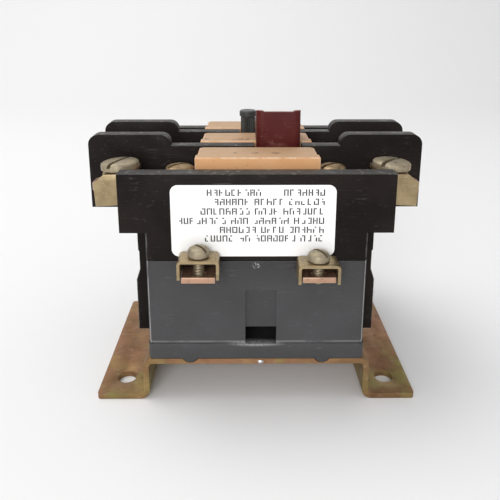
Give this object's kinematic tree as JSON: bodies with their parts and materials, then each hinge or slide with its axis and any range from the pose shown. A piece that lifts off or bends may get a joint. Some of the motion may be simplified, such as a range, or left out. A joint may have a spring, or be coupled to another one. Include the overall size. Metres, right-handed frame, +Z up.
{
  "type": "definite-purpose contactor",
  "caption": "Open power contactor on a hat-section steel foot plate, with screw clamps, tall pole barriers, a sliding contact carrier and coil clamps on its front.",
  "frame": {"origin": "on the mounting surface, under the middle of the overall box", "axes": "+X from the line terminals to the load terminals, +Y from the coil-terminal face to the rear, +Z up"},
  "size_m": [0.0974, 0.0762, 0.0791],
  "materials": {
    "zinc_chromate": "yellow chromate over zinc on stamped steel, iridescent and worn",
    "grey_phenolic": "moulded phenolic, greyed, fine scratches",
    "black_phenolic": "moulded phenolic, brown-black, fine scratches",
    "label_film": "white adhesive film",
    "tan_phenolic": "tan moulded phenolic, dusty on top",
    "maroon_plastic": "dark red moulding with pale worn edges",
    "black_nylon": "black moulded knob",
    "core_steel": "stacked steel laminations",
    "bright_steel": "spring and pin steel",
    "cushion_rubber": "rubber pad",
    "bobbin_nylon": "natural nylon",
    "magnet_wire": "enamelled copper wire",
    "copper": "copper, lightly tinned and tarnished",
    "brass": "brass screws, tarnished",
    "plated_steel": "zinc-plated steel, khaki passivation"
  },
  "bodies": {
    "root": {"base_plate": "zinc_chromate", "coil_housing": "grey_phenolic", "contact_housing": "black_phenolic", "rating_label": "label_film", "magnet_core": "core_steel", "magnet_pad": "cushion_rubber", "coil_bobbin": "bobbin_nylon", "coil_winding": "magnet_wire", "retaining_clip_left": "grey_phenolic", "retaining_clip_right": "grey_phenolic", "housing_screw_left": "plated_steel", "housing_screw_right": "plated_steel", "shading_ring_left": "copper", "shading_ring_right": "copper", "return_spring_front": "bright_steel", "return_spring_rear": "bright_steel", "coil_tab_left": "copper", "coil_tab_right": "copper", "line_strap_1": "copper", "line_strap_screw_1": "brass", "load_strap_1": "copper", "load_strap_screw_1": "brass", "line_strap_2": "copper", "line_strap_screw_2": "brass", "load_strap_2": "copper", "load_strap_screw_2": "brass", "line_strap_3": "copper", "line_strap_screw_3": "brass", "load_strap_3": "copper", "load_strap_screw_3": "brass"},
    "crossbar": {"crossbar": "black_phenolic", "armature": "core_steel", "armature_pin": "bright_steel", "actuator_tab": "maroon_plastic", "test_plunger": "black_nylon", "contact_carrier_1": "tan_phenolic", "contact_carrier_2": "tan_phenolic", "contact_carrier_3": "tan_phenolic", "contact_spring_1": "bright_steel", "contact_spring_2": "bright_steel", "contact_spring_3": "bright_steel"},
    "bridge_1": {"moving_bridge_1": "copper"},
    "bridge_2": {"moving_bridge_2": "copper"},
    "bridge_3": {"moving_bridge_3": "copper"},
    "line_1_clamp": {"line_saddle_1": "plated_steel"},
    "line_1_screw": {"line_screw_1": "plated_steel"},
    "load_1_clamp": {"load_saddle_1": "plated_steel"},
    "load_1_screw": {"load_screw_1": "plated_steel"},
    "line_2_clamp": {"line_saddle_2": "plated_steel"},
    "line_2_screw": {"line_screw_2": "plated_steel"},
    "load_2_clamp": {"load_saddle_2": "plated_steel"},
    "load_2_screw": {"load_screw_2": "plated_steel"},
    "line_3_clamp": {"line_saddle_3": "plated_steel"},
    "line_3_screw": {"line_screw_3": "plated_steel"},
    "load_3_clamp": {"load_saddle_3": "plated_steel"},
    "load_3_screw": {"load_screw_3": "plated_steel"},
    "coil_left_clamp": {"coil_saddle_left": "plated_steel"},
    "coil_left_screw": {"coil_screw_left": "plated_steel"},
    "coil_right_clamp": {"coil_saddle_right": "plated_steel"},
    "coil_right_screw": {"coil_screw_right": "plated_steel"}
  },
  "joints": [
    {"name": "crossbar_slide", "type": "slide", "parent": "root", "child": "crossbar", "axis": [0, 0, -1], "range_m": [0, 0.0035], "stiffness_N_per_m": 600, "springref_m": -0.003, "deforming": ["return_spring_front", "return_spring_rear"]},
    {"name": "bridge_1_lift", "type": "slide", "parent": "crossbar", "child": "bridge_1", "axis": [0, 0, 1], "range_m": [0, 0.001], "stiffness_N_per_m": 200, "springref_m": -0.003, "deforming": ["contact_spring_1"]},
    {"name": "bridge_2_lift", "type": "slide", "parent": "crossbar", "child": "bridge_2", "axis": [0, 0, 1], "range_m": [0, 0.001], "stiffness_N_per_m": 200, "springref_m": -0.003, "deforming": ["contact_spring_2"]},
    {"name": "bridge_3_lift", "type": "slide", "parent": "crossbar", "child": "bridge_3", "axis": [0, 0, 1], "range_m": [0, 0.001], "stiffness_N_per_m": 200, "springref_m": -0.003, "deforming": ["contact_spring_3"]},
    {"name": "line_1_clamp_slide", "type": "slide", "parent": "root", "child": "line_1_clamp", "axis": [-0.0523, 0, 0.9986], "range_m": [-0.0018, 0.002]},
    {"name": "line_1_screw_turn", "type": "hinge", "parent": "line_1_clamp", "child": "line_1_screw", "pos_m": [-0.03765, -0.01762, 0.061], "axis": [-0.0523, 0, 0.9986], "range_deg": [-818, 908]},
    {"name": "load_1_clamp_slide", "type": "slide", "parent": "root", "child": "load_1_clamp", "axis": [0.0523, 0, 0.9986], "range_m": [-0.0018, 0.002]},
    {"name": "load_1_screw_turn", "type": "hinge", "parent": "load_1_clamp", "child": "load_1_screw", "pos_m": [0.03765, -0.01762, 0.061], "axis": [0.0523, 0, 0.9986], "range_deg": [-818, 908]},
    {"name": "line_2_clamp_slide", "type": "slide", "parent": "root", "child": "line_2_clamp", "axis": [-0.0523, 0, 0.9986], "range_m": [-0.0018, 0.002]},
    {"name": "line_2_screw_turn", "type": "hinge", "parent": "line_2_clamp", "child": "line_2_screw", "pos_m": [-0.03765, 0.00363, 0.061], "axis": [-0.0523, 0, 0.9986], "range_deg": [-818, 908]},
    {"name": "load_2_clamp_slide", "type": "slide", "parent": "root", "child": "load_2_clamp", "axis": [0.0523, 0, 0.9986], "range_m": [-0.0018, 0.002]},
    {"name": "load_2_screw_turn", "type": "hinge", "parent": "load_2_clamp", "child": "load_2_screw", "pos_m": [0.03765, 0.00363, 0.061], "axis": [0.0523, 0, 0.9986], "range_deg": [-818, 908]},
    {"name": "line_3_clamp_slide", "type": "slide", "parent": "root", "child": "line_3_clamp", "axis": [-0.0523, 0, 0.9986], "range_m": [-0.0018, 0.002]},
    {"name": "line_3_screw_turn", "type": "hinge", "parent": "line_3_clamp", "child": "line_3_screw", "pos_m": [-0.03765, 0.02488, 0.061], "axis": [-0.0523, 0, 0.9986], "range_deg": [-818, 908]},
    {"name": "load_3_clamp_slide", "type": "slide", "parent": "root", "child": "load_3_clamp", "axis": [0.0523, 0, 0.9986], "range_m": [-0.0018, 0.002]},
    {"name": "load_3_screw_turn", "type": "hinge", "parent": "load_3_clamp", "child": "load_3_screw", "pos_m": [0.03765, 0.02488, 0.061], "axis": [0.0523, 0, 0.9986], "range_deg": [-818, 908]},
    {"name": "coil_left_clamp_slide", "type": "slide", "parent": "root", "child": "coil_left_clamp", "axis": [0, 0, 1], "range_m": [-0.0035, 0.0002]},
    {"name": "coil_left_screw_turn", "type": "hinge", "parent": "coil_left_clamp", "child": "coil_left_screw", "pos_m": [-0.01515, -0.0347, 0.0408], "axis": [0, 0, 1], "range_deg": [-1588, 92]},
    {"name": "coil_right_clamp_slide", "type": "slide", "parent": "root", "child": "coil_right_clamp", "axis": [0, 0, 1], "range_m": [-0.0022, 0.0015]},
    {"name": "coil_right_screw_turn", "type": "hinge", "parent": "coil_right_clamp", "child": "coil_right_screw", "pos_m": [0.016, -0.0347, 0.0408], "axis": [0, 0, 1], "range_deg": [-999, 682]}
  ],
  "couplings": [
    {"joint": "bridge_1_lift", "follows": "crossbar_slide", "ratio": 0.28571},
    {"joint": "bridge_2_lift", "follows": "crossbar_slide", "ratio": 0.28571},
    {"joint": "bridge_3_lift", "follows": "crossbar_slide", "ratio": 0.28571},
    {"joint": "line_1_screw_turn", "follows": "line_1_clamp_slide", "rad_per_m": 7913.3},
    {"joint": "load_1_screw_turn", "follows": "load_1_clamp_slide", "rad_per_m": 7913.3},
    {"joint": "line_2_screw_turn", "follows": "line_2_clamp_slide", "rad_per_m": 7913.3},
    {"joint": "load_2_screw_turn", "follows": "load_2_clamp_slide", "rad_per_m": 7913.3},
    {"joint": "line_3_screw_turn", "follows": "line_3_clamp_slide", "rad_per_m": 7913.3},
    {"joint": "load_3_screw_turn", "follows": "load_3_clamp_slide", "rad_per_m": 7913.3},
    {"joint": "coil_left_screw_turn", "follows": "coil_left_clamp_slide", "rad_per_m": 7913.3},
    {"joint": "coil_right_screw_turn", "follows": "coil_right_clamp_slide", "rad_per_m": 7913.3}
  ]
}
